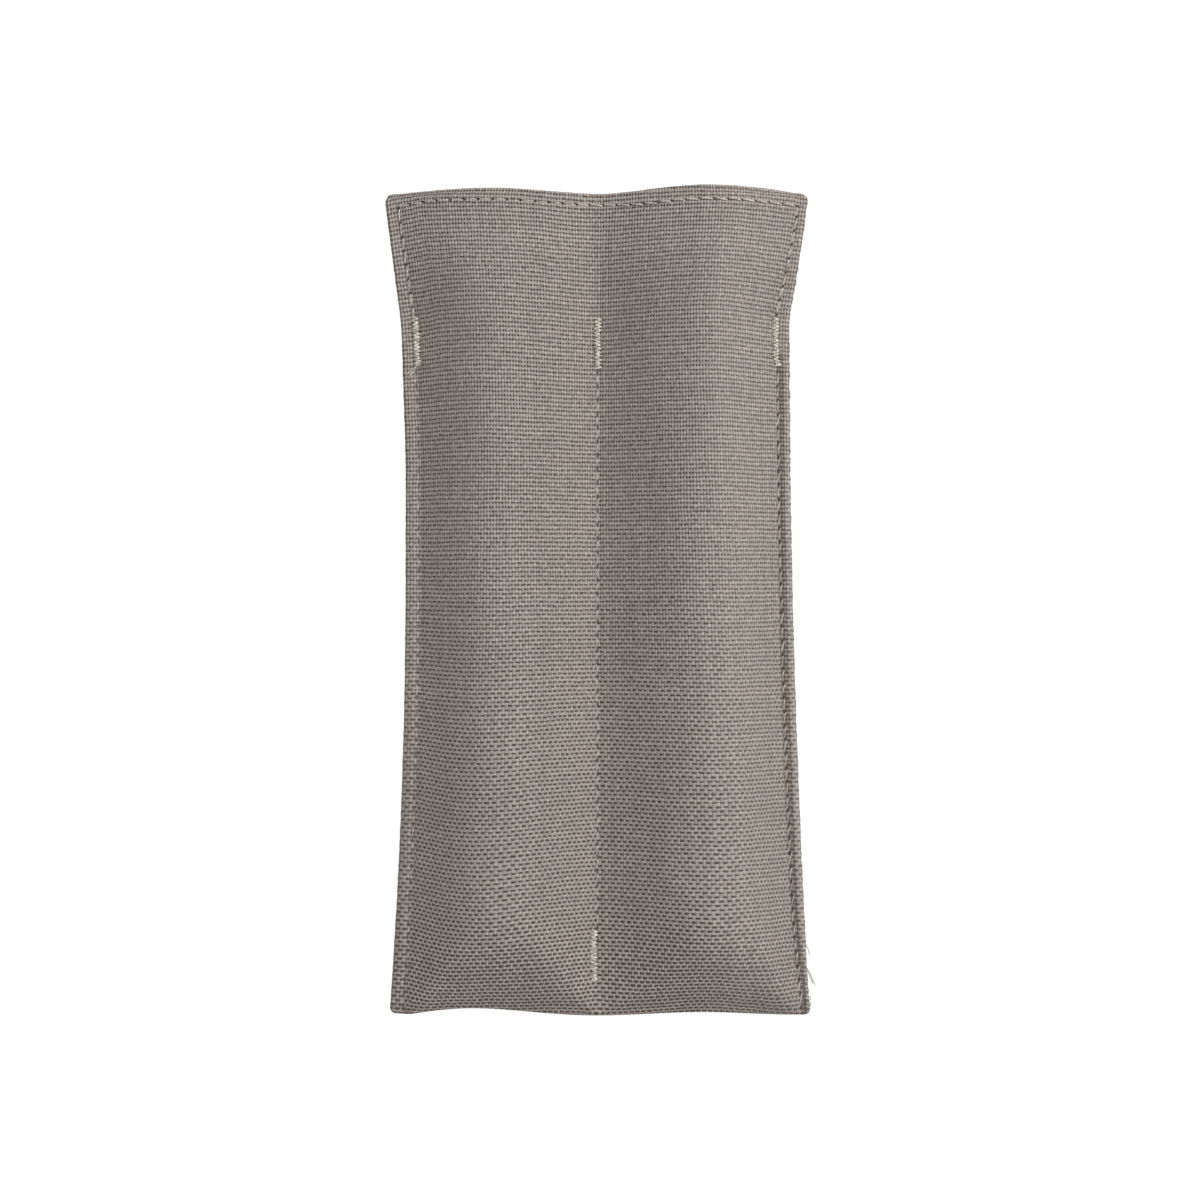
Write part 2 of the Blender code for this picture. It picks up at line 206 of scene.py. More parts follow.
def ridgeShare(side, y):
    foot = ease(1 - (y - foldY) / case["ridgeDriftReach"])
    share = between(side["ridgeShare"], side["footRidgeShare"], foot)
    return between(share, side["mouthRidgeShare"], ease((y - flareY) / (topY - flareY)))


def tent(side, share, ridge):
    part = min(share / ridge, (1 - share) / (1 - ridge))
    softness = side["outerSoftness"] if share < ridge else side["innerSoftness"]
    return side["crestShare"] * between(math.sin(math.pi / 2 * part), ease(part), softness)


def trough(share):
    return math.sin(math.pi / 2 * clamp(min(share, 1 - share) / case["backFlankShare"]))


def lowestRise(layer, share, y):
    lip = lipShare(y)
    sideRise = sideRest + layer["slitOpening"] * (1 - (1 - lip) ** 2)
    dividerRise = dividerRest + layer["creaseOpening"] * ease(lip)
    return between(sideRise, dividerRise, share)


# the soft unevenness of sewn cloth, none at the seams and the fold
waves = {
    "height": 0.0005,
    "layerStep": 5,
    "across": 0.011,
    "along": 0.021,
    "foldReach": 0.02,
    "tableGap": 0.00002,
}


def wave(layer, side, share, y):
    across = side["sign"] * (1 - share) * case["waistHalfWidth"] / waves["across"]
    place = Vector((across, y / waves["along"], waves["layerStep"] * layer["face"]))
    calm = ease((y - foldY) / waves["foldReach"]) * math.sin(math.pi * share) ** 2
    return waves["height"] * calm * noise.noise(place)


def rise(layer, side, share, y):
    low = lowestRise(layer, share, y)
    crest = layer["crest"] + layer["mouthCrestChange"] * ease(lipShare(y))
    form = tent(side, share, ridgeShare(side, y)) if layer is front else trough(share)
    height = between(low, crest, form) + wave(layer, side, share, y)
    return height if layer is front else min(height, layer["crest"] - waves["tableGap"])


def swell(share, skew):
    return math.sin(math.pi * share**skew) if 0 < share < 1 else 0


def foldLine(side, share):
    draw = side["foldDraw"] * swell(share, side["foldSkew"]) ** 2
    return foldY + halfCloth + draw + side["cornerLift"] * (1 - share)


def foldRun(layer, side, share):
    y = foldLine(side, share)
    height = rise(layer, side, share, y)
    return height + case["foldStretchShare"] * (height - lowestRise(layer, share, y))


# the mouth's edge is highest over each channel and lower at the corners and the crease
def mouthLine(side, across):
    share = between(case["mouthBandShare"] * clamp(across), 1, clamp(across - 1))
    peak = case["mouthPeak"]
    if share < peak:
        climb = math.sin(math.pi / 2 * (share / peak) ** case["mouthSkew"])
        return topY - between(side["cornerDrop"], side["peakDrop"], climb)
    return topY - between(case["creaseDrop"], side["peakDrop"], ease((1 - share) / (1 - peak)))


def cornerCut(distance, radius):
    return radius - math.sqrt(radius**2 - (radius * clamp(1 - distance / radius)) ** 2)


def flareShare(side, y):
    share = (y - side["flareY"]) / (topY - side["flareY"])
    onset = side["flareOnset"] * ease(1 + share)
    soft = side["flareSoftness"]
    if share <= soft:
        share = max(share + soft, 0) ** 2 / (4 * soft)
    return onset + (1 - side["flareOnset"]) * share ** side["flareBow"]


def halfWidth(side, y):
    footShare = clamp(1 - (y - foldY) / side["footFlareReach"])
    flare = side["mouthFlare"] * flareShare(side, y) + side["footFlare"] * footShare**2
    footCut = cornerCut(y - foldLine(side, 0), case["footCornerRadius"])
    return case["waistHalfWidth"] + flare - footCut - cornerCut(mouthLine(side, 0) - y, side["mouthCornerRadius"])


def seamMargin(side, y):
    return between(side["footMargin"], side["seamMargin"], ease((y - foldY) / case["ridgeDriftReach"]))


def tackMargin(side, y):
    return side["tackMargin"] + side["tackFootShift"] * ease(1 - (y - tackEndY) / case["tackShiftReach"])


def bandWidth(side, y):
    band = seamMargin(side, y) + case["stitchFlat"] - foldReach
    return band * between(1, case["lipBandShare"], ease(lipShare(y)))


def channelWidth(side, y):
    return halfWidth(side, y) - foldReach - bandWidth(side, y) - case["dividerFlat"]


def acrossAt(side, inset, y):
    band = bandWidth(side, y)
    return inset / band if inset < band else 1 + (inset - band) / channelWidth(side, y)


# across is 0 at the hem's fold, 1 to 2 over the channel and 3 on the divider
def clothPoint(layer, side, across, y, height):
    inset = min(across, 1) * bandWidth(side, y) + clamp(across - 1) * channelWidth(side, y)
    x = halfWidth(side, y) - foldReach - inset - case["dividerFlat"] * clamp(across - 2)
    lean = side["bandLean"] * bandWidth(side, y) * (1 - min(across, 1)) * ease(-y / case["leanReach"])
    return Vector((side["sign"] * x, y, midZ + layer["face"] * height - lean))


# the hems outside the side seams swell into a roll
def bandRoll(layer, side, across, y):
    if across >= 1 or layer is back:
        return 0
    roll = side["roll"] * math.sin(math.pi * across) * ease((y - foldY) / case["rollFootReach"])
    return roll * ease((tackEndY - y) / case["rollTopReach"])


# the cloth comes down to the fold as a wedge that is rounded at its tip
def foldPoint(layer, side, across, turn):
    share = clamp(across - 1)
    angle = turn * math.pi / 2
    y = foldLine(side, share) + foldRun(layer, side, share) * (1 - math.cos(angle))
    wedge = case["foldWedge"] * ease(share / case["foldWedgeShare"])
    form = between(math.sin(angle), 1 - math.cos(angle) ** case["foldWedgePower"], wedge)
    return clothPoint(layer, side, across, y, rise(layer, side, share, y) * form)


def levelY(layer, side, across):
    share = clamp(across - 1)
    return foldLine(side, share) + foldRun(layer, side, share)


def upperPoint(layer, side, across, y):
    level = levelY(layer, side, across)
    if y < level:
        run = foldRun(layer, side, clamp(across - 1))
        return foldPoint(layer, side, across, math.acos(1 - (y - level + run) / run) * 2 / math.pi)
    height = rise(layer, side, clamp(across - 1), y) + bandRoll(layer, side, across, y)
    return clothPoint(layer, side, across, y, height)


# the two pieces of cloth, each a grid moved into the form above, with its hems turned in
cloth = {
    "bandSteps": 6,
    "channelSteps": 40,
    "dividerSteps": 3,
    "crowding": 0.4,  # how much closer the columns stand at the seams than at the ridge
    "foldSteps": 14,
    "panelStep": 0.00058,
    "turnSteps": 5,
    "unevenMouth": 0.12,
    "hemSteps": 8,
    "leastReach": 0.00003,
    "cornerSteps": 5,
    "yarnStrip": 0.0438,  # cut width from the divider to the hem's fold
    "straightY": 0.008,  # the weft rows are straight at this height
    "followPower": 1.5,
    "droopPower": 2.2,
    "weftDroopEnds": (0.022, -0.062),  # no droop at the first height, and all of it at the second
    "foldDroopEnds": (-0.0717, -0.0835),
    "edgeDroopEnds": (0.022, 0.062),
    "edgeDroopReach": 0.35,
    "edgeDroopPower": 1.5,
    "sharpEdge": 50,  # degrees
}


def crowded(share):
    return share - cloth["crowding"] * (math.sin(2 * math.pi * share) / (2 * math.pi))


def columnList():
    values = parts(cloth["bandSteps"])
    values += [1 + crowded(share) for share in parts(cloth["channelSteps"])]
    values += [2 + share for share in parts(cloth["dividerSteps"])]
    return [(left, value) for value in values] + [(left, 3)] + [(right, value) for value in reversed(values)]


# each row is (part of the cloth, how far along it)
def rowList(layer):
    counts = {"backFold": cloth["foldSteps"], "frontFold": cloth["foldSteps"]} if layer is front else {}
    counts["panel"] = round((hingeY - foldY) / cloth["panelStep"])
    counts["lip"] = round(case["lipDepth"] / cloth["panelStep"])
    return [(part, along) for part, count in counts.items() for along in parts(count)] + [("lip", 1)]


def clothAt(layer, side, across, row):
    part, along = row
    if part == "backFold":
        return foldPoint(back, side, across, 1 - along)
    if part == "frontFold":
        return foldPoint(front, side, across, along)
    if part == "panel":
        y = between(levelY(layer, side, across), hingeY, along)
    else:
        y = between(hingeY, mouthLine(side, across) - foldReach, along)
    return upperPoint(layer, side, across, y)


def unit(vectors, least=0.0):
    return vectors / (np.linalg.norm(vectors, axis=-1, keepdims=True) + least)


def outwardNormals(points, layer):
    over = np.gradient(points, axis=1)
    up = np.gradient(points, axis=0)
    return unit(np.cross(over, up) * layer["face"])


def runningLength(points, axis):
    steps = np.linalg.norm(np.diff(points, axis=axis), axis=-1)
    return np.concatenate([np.zeros_like(steps.take([0], axis)), np.cumsum(steps, axis)], axis)


def easeAll(shares):
    shares = np.clip(shares, 0, 1)
    return shares * shares * (3 - 2 * shares)


# where each point lies on the flat strip: x over its width and y along it, in metres
def stripPlaces(points, columns, layer, foldPlaces=None):
    middle = next(index for index, column in enumerate(columns) if column[1] == 3)
    over = runningLength(points, 1)
    over = over - over[:, [middle]]
    leftShare = over[:, :middle + 1] / -over[:, [0]]
    rightShare = over[:, middle + 1:] / over[:, [-1]]
    across = np.concatenate([leftShare, rightShare], 1) * cloth["yarnStrip"]
    along = runningLength(points, 0)
    if layer is front:
        for index, (side, value) in enumerate(columns):
            share = clamp(value - 1)
            along[:, index] += side["bandSlant"] * side["seamMargin"] * max(1 - value, 0)
            y = points[:, index, 1]
            lowest = int(np.argmin(y))
            along[:, index] -= np.interp(cloth["straightY"], y[lowest:], along[lowest:, index])
            for kind in ("weft", "fold"):
                none, full = cloth[kind + "DroopEnds"]
                hang = side[kind + "Droop"] * swell(share, side[kind + "DroopSkew"]) ** cloth["droopPower"]
                along[:, index] += hang * easeAll((none - y) / (none - full))
            none, full = cloth["edgeDroopEnds"]
            hang = side["edgeDroop"] * max(1 - share / cloth["edgeDroopReach"], 0) ** cloth["edgeDroopPower"]
            along[:, index] += hang * easeAll((y - none) / (full - none))
        lengths = along[-1].copy()
        follow = np.array([side["rowsFollow"] for side, _ in columns])
        along += follow * (lengths[middle] - lengths) * np.clip(along / lengths, 0, 1) ** cloth["followPower"]
    else:
        along = foldPlaces[:, 1] - along
    return np.stack([across, along], axis=2)


def addPatch(sheet, points, places):
    rowCount, columnCount = points.shape[:2]
    grid = bmesh.ops.create_grid(sheet, x_segments=columnCount - 1, y_segments=rowCount - 1, size=1)
    across = sheet.verts.layers.float["across"]
    along = sheet.verts.layers.float["along"]
    for vertex in grid["verts"]:
        column = round((vertex.co.x + 1) / 2 * (columnCount - 1))
        row = round((vertex.co.y + 1) / 2 * (rowCount - 1))
        vertex.co = points[row, column]
        vertex[across], vertex[along] = places[row, column]


# a hem: the round over its fold, then the inner ply. outer and normals run from the fold inwards
def turnedHem(outer, normals, outward, uneven=0):
    edge, normal = outer[:, 0], normals[:, 0]
    out = unit(outward - normal * (normal @ outward)[:, None])
    turn = []
    width = 1 + uneven * np.random.default_rng(len(outer)).uniform(-1, 1, (len(outer), 1))
    for step in range(cloth["turnSteps"]):
        angle = math.pi * step / cloth["turnSteps"]
        turn.append(edge + turnRadius * (normal * (math.cos(angle) - 1) + out * math.sin(angle) * width))
    inner = outer - normals * plyStep
    return np.concatenate([np.stack(turn, 1), inner], 1)


# outer has one point more than the hem, on the far side of its fold
def addHem(sheet, layer, outer, direction, outward, uneven, edgePlaces):
    outer = np.array(outer)
    normals = outwardNormals(outer, layer) * direction
    hem = turnedHem(outer[:, 1:], normals[:, 1:], np.array(outward), uneven)
    growth = np.array([outward[0], outward[1] * layer["face"]])
    addPatch(sheet, hem, edgePlaces[:, None] + runningLength(hem, 1)[:, :, None] * growth)
    return normals[:, 1]


def hemReach(room):
    return max(min(case["hem"], room - case["mitreGap"]), cloth["leastReach"])


def addSideHem(sheet, layer, side, rows, edgePlaces):
    insets = [case["hem"] * step / cloth["hemSteps"] for step in range(-1, cloth["hemSteps"] + 1)]
    outer = []
    for row in rows:
        y = clothAt(layer, side, 0, row).y
        reach = hemReach((1 - row[1]) * case["lipDepth"]) if row[0] == "lip" else case["hem"]
        outer.append([clothAt(layer, side, acrossAt(side, inset * reach / case["hem"], y), row) for inset in insets])
    outward = (side["sign"], 0, 0)
    return addHem(sheet, layer, outer, -side["sign"], outward, side["unevenEdge"], edgePlaces)[-1]


def addMouthHem(sheet, layer, columns, edgePlaces):
    outer = []
    for side, across in columns:
        length = mouthLine(side, across) - foldReach - hingeY
        edge = clothAt(layer, side, across, ("lip", 1))
        reach = hemReach(halfWidth(side, edge.y) - foldReach - abs(edge.x))
        steps = range(-1, cloth["hemSteps"] + 1)
        alongs = [1 - reach * step / cloth["hemSteps"] / length for step in steps]
        outer.append([clothAt(layer, side, across, ("lip", along)) for along in alongs])
    return addHem(sheet, layer, outer, 1, (0, 1, 0), cloth["unevenMouth"], edgePlaces)


# the round where a side hem and the mouth's hem meet
def addCorner(sheet, side, corner, place, sideNormal, mouthNormal):
    patch = []
    for swing in parts(cloth["cornerSteps"]) + [1]:
        normal = unit(sideNormal * (1 - swing) + mouthNormal * swing)
        outward = np.array([side["sign"] * math.cos(swing * math.pi / 2), math.sin(swing * math.pi / 2), 0])
        outer = np.array([[corner, corner]])
        patch.append(turnedHem(outer, np.array([[normal, normal]]), outward)[0, :-1])
    patch = np.array(patch)
    addPatch(sheet, patch, np.broadcast_to(place, (*patch.shape[:2], 2)))


def newObject(name, data):
    made = bpy.data.objects.new(name, data)
    scene.collection.objects.link(made)
    return made


def finishedMesh(piece):
    return bpy.data.meshes.new_from_object(piece.evaluated_get(bpy.context.evaluated_depsgraph_get()))


def buildCloth(name, layer, foldPlaces=None):
    columns = columnList()
    rows = rowList(layer)
    points = np.array([[clothAt(layer, side, across, row) for side, across in columns] for row in rows])
    places = stripPlaces(points, columns, layer, foldPlaces)
    sheet = bmesh.new()
    for key in ("across", "along"):
        sheet.verts.layers.float.new(key)
    addPatch(sheet, points, places)
    leftNormal = addSideHem(sheet, layer, left, rows, places[:, 0])
    rightNormal = addSideHem(sheet, layer, right, rows, places[:, -1])
    mouthNormals = addMouthHem(sheet, layer, columns, places[-1])
    for side, index, sideNormal in ((left, 0, leftNormal), (right, -1, rightNormal)):
        addCorner(sheet, side, points[-1, index], places[-1, index], sideNormal, mouthNormals[index])
    bmesh.ops.remove_doubles(sheet, verts=sheet.verts, dist=case["cloth"] / 100)
    bmesh.ops.recalc_face_normals(sheet, faces=sheet.faces)
    across = sheet.verts.layers.float["across"]
    along = sheet.verts.layers.float["along"]
    yarns = sheet.loops.layers.uv.new("yarns")
    for face in sheet.faces:
        for corner in face.loops:
            corner[yarns].uv = (corner.vert[across], corner.vert[along])
    data = bpy.data.meshes.new(name)
    sheet.to_mesh(data)
    sheet.free()
    thin = newObject(name, data)
    wall = thin.modifiers.new("thickness", "SOLIDIFY")
    wall.thickness = case["cloth"]
    wall.offset = 0
    thick = finishedMesh(thin)
    thin.modifiers.clear()
    thin.data = thick
    thick.name = name
    bpy.data.meshes.remove(data)
    thick.shade_smooth()
    thick.set_sharp_from_angle(angle=math.radians(cloth["sharpEdge"]))
    return thin, places


frontCloth, frontPlaces = buildCloth("frontCloth", front)
backCloth, _ = buildCloth("backCloth", back, frontPlaces[0])
print("cloth built:", len(frontCloth.data.polygons), "and", len(backCloth.data.polygons), "faces")


# stitch lines, traced on the same form
stitch = {
    "pitch": 0.0029,
    "sink": 0.0005,  # how deep the thread goes in its needle hole
    "sinkPower": 1.5,
    "pointsPerStitch": 22,
    "turnLength": 0.0011,
    "plies": 3,
    "plyShare": 0.54,  # of the thread's radius
    "plyOffset": 0.5,
    "leastLength": 1e-12,
    "liftSpread": 0.00005,
    "swaySpread": 0.00008,
    "slantSpread": (0.4, 1.4),
    "seamFootInset": 0.0018,
    "cornerShare": 1 / 6,  # the hem stitches' margin changes over these shares of the channel
    "creaseShare": 0.25,
    "creaseMargin": 0.0024,
    "traceSteps": 80,
    "slopeSteps": ((0.01, 0), (0, 0.0002)),
    "turnoverReach": 0.016,  # the mouth's stitches change over this width about the crease:
    "prouder": 0.0002,  # right of it they stand out by this more, and left of it by this less,
    "tilt": 0.0004,  # where one end stands over the other by this
}
seamNames = ("hem", "divider_seam", "right_seam", "left_seam")
seamValues = {
    "radius": (0.0002, 0.00014, 0.00014, 0.00013),
    "crest": (-0.00001, -0.00003, -0.00006, -0.00012),  # how far each stitch's middle stands over the cloth
    "flat": (0.5, 0.1, 0, 0),  # how much of the stitch lies that high
    "slant": (0.0003, 0.0004, 0.0007, 0.0005),
    "hollow": (0.00004, 0.00005, 0.0003, 0.00004),  # how much the cloth is drawn in along the seam
    "aside": (0, 0, 0.0004, 0),
    "hole": (1, 0.7, 0.9, 0.6),  # how dark the needle holes are painted: the hole and the shade in it
    "rightSink": (0.00014, 0, 0, 0),  # how much deeper the stitches lie up the right side
}
seams = dict(zip(seamNames, columnsOf(seamValues)))


def spotOn(layer, side, across, y):
    over, up = (
        upperPoint(layer, side, across + sideStep, y + upStep) - upperPoint(layer, side, across - sideStep, y - upStep)
        for sideStep, upStep in stitch["slopeSteps"]
    )
    normal = over.cross(up).normalized() * -side["sign"] * layer["face"]
    return upperPoint(layer, side, across, y), normal


def lipMargin(side, y):
    return between(side["hingeMargin"], side["lipMargin"], lipShare(y))


def evenSteps(low, high):
    return [between(low, high, share) for share in parts(stitch["traceSteps"]) + [1]]


def sideSpot(layer, side, margin, y):
    return spotOn(layer, side, acrossAt(side, margin(side, y) - foldReach, y), y)


def seamLine(layer, side, lowY, highY, margin=seamMargin):
    return [sideSpot(layer, side, margin, y) for y in evenSteps(lowY, highY)]


def dividerLine(layer, lowY, highY, aside=0.0):
    square = Vector((0, 0, layer["face"]))
    return [(upperPoint(layer, left, 3, y) + Vector((aside, 0, 0)), square) for y in evenSteps(lowY, highY)]


def hemLine(layer):
    def topEdge(side, across):
        share = clamp(across - 1)
        margin = between(side["cornerMargin"], side["mouthMargin"], clamp(share / stitch["cornerShare"]))
        towardCrease = ease((share - 1) / stitch["creaseShare"] + 1)
        return mouthLine(side, across) - between(margin, stitch["creaseMargin"], towardCrease)

    halves = []
    for side in (left, right):
        cornerY = topEdge(side, 1)
        corner = acrossAt(side, side["lipMargin"] - foldReach, cornerY)
        half = [sideSpot(layer, side, lipMargin, y) for y in evenSteps(hingeY + side["hemStart"], cornerY)[:-1]]
        half += [spotOn(layer, side, across, topEdge(side, across)) for across in evenSteps(corner, 3)]
        halves.append(half)
    return halves[0][:-1] + halves[1][::-1]


def lineLength(line):
    return sum((end[0] - start[0]).length for start, end in zip(line, line[1:]))


def spotsAlong(line, count):
    lengths = [0]
    for start, end in zip(line, line[1:]):
        lengths.append(lengths[-1] + (end[0] - start[0]).length)
    spots = []
    at = 0
    for step in range(count + 1):
        wanted = lengths[-1] * step / count
        while at < len(line) - 2 and lengths[at + 1] < wanted:
            at += 1
        share = (wanted - lengths[at]) / (lengths[at + 1] - lengths[at])
        point = line[at][0].lerp(line[at + 1][0], share)
        spots.append((point, line[at][1].lerp(line[at + 1][1], share).normalized()))
    return spots


def spotsEvery(line, step):
    return spotsAlong(line, round(lineLength(line) / step))


seamLowY = foldY + stitch["seamFootInset"]
seamTopY = tackEndY - stitch["pitch"] / 4
dividerLowY = footTackY + tack["length"] + stitch["pitch"] / 4
layerThreads = ((front, "needle_thread"), (back, "bobbin_thread"))
namedSides = (("left", left), ("right", right))
stitchLines = {"front_hem_needle_thread": hemLine(front), "back_hem_needle_thread": hemLine(back)}
for name, side in namedSides:
    for layer, thread in layerThreads:
        stitchLines[f"{name}_seam_{thread}"] = seamLine(layer, side, seamLowY, seamTopY)
tackLines = {}
for layer, thread in layerThreads:
    stitchLines[f"divider_seam_{thread}"] = dividerLine(layer, dividerLowY, seamTopY)
    for name, side in namedSides:
        lowY = tackTopY - side["tackLength"]
        tackLines[f"{name}_bartack_{thread}"] = seamLine(layer, side, lowY, tackTopY, tackMargin)
    tackLines[f"divider_mouth_bartack_{thread}"] = dividerLine(layer, tackEndY, tackTopY)
    footLine = dividerLine(layer, footTackY, footTackY + tack["length"], tack["footAside"])
    tackLines[f"divider_foot_bartack_{thread}"] = footLine


# the sewing draws the cloth in: a soft hollow along each line, a deeper one at each needle hole
pull = {
    "hollowReach": 0.001,
    "hollowsPerReach": 1.5,
    "tacksPerReach": 2,
    "holeReach": 0.0011,
    "holeDepth": 0.00013,
    "deepest": 0.00032,
    "seamReach": 0.004,
    "seamStep": 0.0007,
    "tackReach": 0.0016,
    "tackDepth": 0.00016,
}


def seamOf(name):
    return seams["hem" if "hem" in name else "_".join(name.split("_")[:2])]


def treeOf(places):
    tree = kdtree.KDTree(len(places))
    for index, place in enumerate(places):
        tree.insert(place, index)
    tree.balance()
    return tree


def drawIn(tree, vertices, spots, reach, depth, aside=0.0):
    for spot, normal in spots:
        for _, index, distance in tree.find_range(spot + Vector((aside, 0, 0)), reach):
            share = 1 - distance / reach
            vertices[index].co -= normal * depth * share * share * (3 - 2 * share)


# for the cloth's material: how far each point is from the nearest seam, and where along it, in stitches
def markSeams(data, lines):
    places = np.empty(len(data.vertices) * 3)
    data.vertices.foreach_get("co", places)
    places = places.reshape(-1, 3)
    seam = np.zeros((len(places), 3))
    seam[:, 0] = pull["seamReach"]
    holes = np.zeros(len(places))
    for kind, line in lines:
        spots = spotsEvery(line, pull["seamStep"])
        points = np.array([spot for spot, _ in spots])
        normals = np.array([normal for _, normal in spots])
        tangents = unit(np.gradient(points, axis=0))
        stitches = len(spotsEvery(line, stitch["pitch"])) - 1
        tree = treeOf(points)
        step = lineLength(line) / (len(points) - 1)
        for number, place in enumerate(places):
            _, index, distance = tree.find(place)
            if distance > pull["seamReach"]:
                continue
            off = place - points[index]
            along = index + off @ tangents[index] / step
            aside = off @ np.cross(tangents[index], normals[index])
            deep = max(abs(off @ normals[index]) - case["cloth"], 0)
            if math.hypot(aside, deep) < abs(seam[number, 0]):
                turns = along / (len(points) - 1) * stitches
                seam[number] = (math.copysign(math.hypot(aside, deep), aside), turns, kind["hollow"] / pull["deepest"])
                holes[number] = kind["hole"]
    data.attributes.new("seam", "FLOAT_VECTOR", "POINT").data.foreach_set("vector", seam.ravel())
    data.attributes.new("holes", "FLOAT", "POINT").data.foreach_set("value", holes)


def sewInto(piece, face):
    data = piece.data
    tree = treeOf([vertex.co for vertex in data.vertices])
    wanted = [(seamOf(name), line) for name, line in stitchLines.items() if line[0][1].z * face > 0]
    markSeams(data, wanted)
    for kind, line in wanted:
        hollows = spotsEvery(line, pull["hollowReach"] / pull["hollowsPerReach"])
        drawIn(tree, data.vertices, hollows, pull["hollowReach"], kind["hollow"], kind["aside"])
        drawIn(tree, data.vertices, spotsEvery(line, stitch["pitch"]), pull["holeReach"], pull["holeDepth"])
    count = round(tack["length"] / pull["tackReach"] * pull["tacksPerReach"])
    for line in tackLines.values():
        if line[0][1].z * face > 0:
            drawIn(tree, data.vertices, spotsAlong(line, count), pull["tackReach"], pull["tackDepth"])
    data.update()


sewInto(frontCloth, 1)
sewInto(backCloth, -1)
print("needle holes sewn in")


# threads of three twisted plies
def pathFrames(points, normals):
    tangents = unit(np.gradient(points, axis=0), stitch["leastLength"])
    sideways = unit(np.cross(tangents, normals), stitch["leastLength"])
    return sideways, np.cross(sideways, tangents)


def twistedRuns(points, normals, radius):
    points = np.array(points)
    sideways, upwards = pathFrames(points, np.array(normals))
    travelled = runningLength(points, 0)
    runs = []
    for turned in parts(stitch["plies"]):
        angle = 2 * math.pi * (travelled / stitch["turnLength"] + turned)
        offset = sideways * np.cos(angle)[:, None] + upwards * np.sin(angle)[:, None]
        runs.append(points + offset * radius * stitch["plyOffset"])
    return runs


def tubes(name, runs, radius):
    data = bpy.data.curves.new(name, "CURVE")
    data.dimensions = "3D"
    data.bevel_depth = radius
    data.bevel_resolution = 1
    data.use_fill_caps = True
    for run in runs:
        spline = data.splines.new("POLY")
        spline.points.add(len(run) - 1)
        for spot, point in zip(spline.points, run):
            spot.co = (*point, 1)
    guide = newObject(name, data)
    solid = finishedMesh(guide)
    bpy.data.objects.remove(guide)
    bpy.data.curves.remove(data)
    solid.name = name
    solid.shade_smooth()
    return newObject(name, solid)


def lockstitch(line, seed, kind):
    flat = kind["flat"]
    dice = random.Random(seed)
    holes = spotsEvery(line, stitch["pitch"])
    points, normals = [], []
    for (start, startNormal), (end, endNormal) in zip(holes, holes[1:]):
        level = abs((end - start).normalized().x)
        rightward = ease(0.5 + start.x / stitch["turnoverReach"])
        lift = kind["crest"] + stitch["prouder"] * level * between(-1, 1, rightward)
        lift += dice.uniform(-1, 1) * stitch["liftSpread"] - kind["rightSink"] * (1 - level) * rightward
        tilt = stitch["tilt"] * level * (1 - rightward)
        sway = dice.uniform(-1, 1) * stitch["swaySpread"]
        slant = kind["slant"] * dice.uniform(*stitch["slantSpread"])
        for share in parts(stitch["pointsPerStitch"]):
            normal = startNormal.lerp(endNormal, share).normalized()
            sideways = (end - start).cross(normal).normalized()
            edge = abs(2 * share - 1)
            height = halfCloth + lift * (1 - edge**2) + tilt * (share - 0.5)
            height -= stitch["sink"] * max(0, (edge - flat) / (1 - flat)) ** stitch["sinkPower"]
            aside = sway * (1 - edge**2) + slant * (share - 0.5)
            points.append(start.lerp(end, share) + normal * height + sideways * aside)
            normals.append(normal)
    return points, normals


def zigzag(line, seed):
    dice = random.Random(seed)
    points, normals, crossings = [], [], []
    for index, (spot, normal) in enumerate(spotsAlong(line, tack["passes"])):
        sideways = Vector((0, 1, 0)).cross(normal).normalized()
        reach = tack["width"] / 2 * dice.uniform(*tack["reachSpread"]) * (1 if index % 2 else -1)
        crossings.append((spot + sideways * reach + Vector((0, dice.uniform(-1, 1) * tack["stray"], 0)), normal))
    for (start, normal), (end, _) in zip(crossings, crossings[1:]):
        top = halfCloth + dice.uniform(tack["under"], tack["crown"])
        for share in parts(tack["pointsPerPass"]):
            height = top - (top - halfCloth) * abs(2 * share - 1) ** tack["passRound"]
            points.append(start.lerp(end, share) + normal * height)
            normals.append(normal)
    return points, normals


# the short loose ends, given as (right of the middle, up the case, over the back) in millimetres
loose = {
    "steps": 6,
    "radius": 0.00007,
    "filaments": [
        [(43.2, -70.9, 6.6), (43.7, -72.0, 6.8), (43.9, -73.0, 6.9)],
        [(42.9, -75.0, 6.6), (43.9, -76.6, 7.0), (44.6, -78.3, 7.2), (45.1, -79.2, 7.2)],
        [(43.1, -75.6, 6.4), (44.0, -77.4, 6.6), (44.6, -78.9, 6.7)],
        [(43.5, -81.4, 6.6), (44.2, -81.9, 6.7), (43.9, -82.5, 6.6)],
        [(43.6, -82.6, 6.5), (44.3, -83.2, 6.4), (43.9, -83.9, 6.3)],
    ],
    "tackLoop": [
        (-37.5, 48.6, 7.5), (-38.6, 47.9, 7.8), (-39.5, 46.9, 7.8),
        (-39.3, 46.5, 7.7), (-38.5, 47.2, 7.8), (-37.8, 48.2, 7.5),
    ],
}


def looseEnd(places):
    corners = [Vector(place) / 1000 for place in places]
    run = []
    for index in range(len(corners) - 1):
        before, after = corners[max(index - 1, 0)], corners[min(index + 2, len(corners) - 1)]
        start, end = corners[index], corners[index + 1]
        for share in parts(loose["steps"]):
            bulge = share * (1 - share)
            place = start.lerp(end, share) + (end - before) * bulge * (1 - share) / 2
            run.append(place - (after - start) * bulge * share / 2)
    return run + [corners[-1]]


threads = []


def sewThread(name, line, seed):
    kind = seamOf(name)
    runs = twistedRuns(*lockstitch(line, seed, kind), kind["radius"])
    threads.append((tubes(name.replace("_thread", ""), runs, kind["radius"] * stitch["plyShare"]), name))


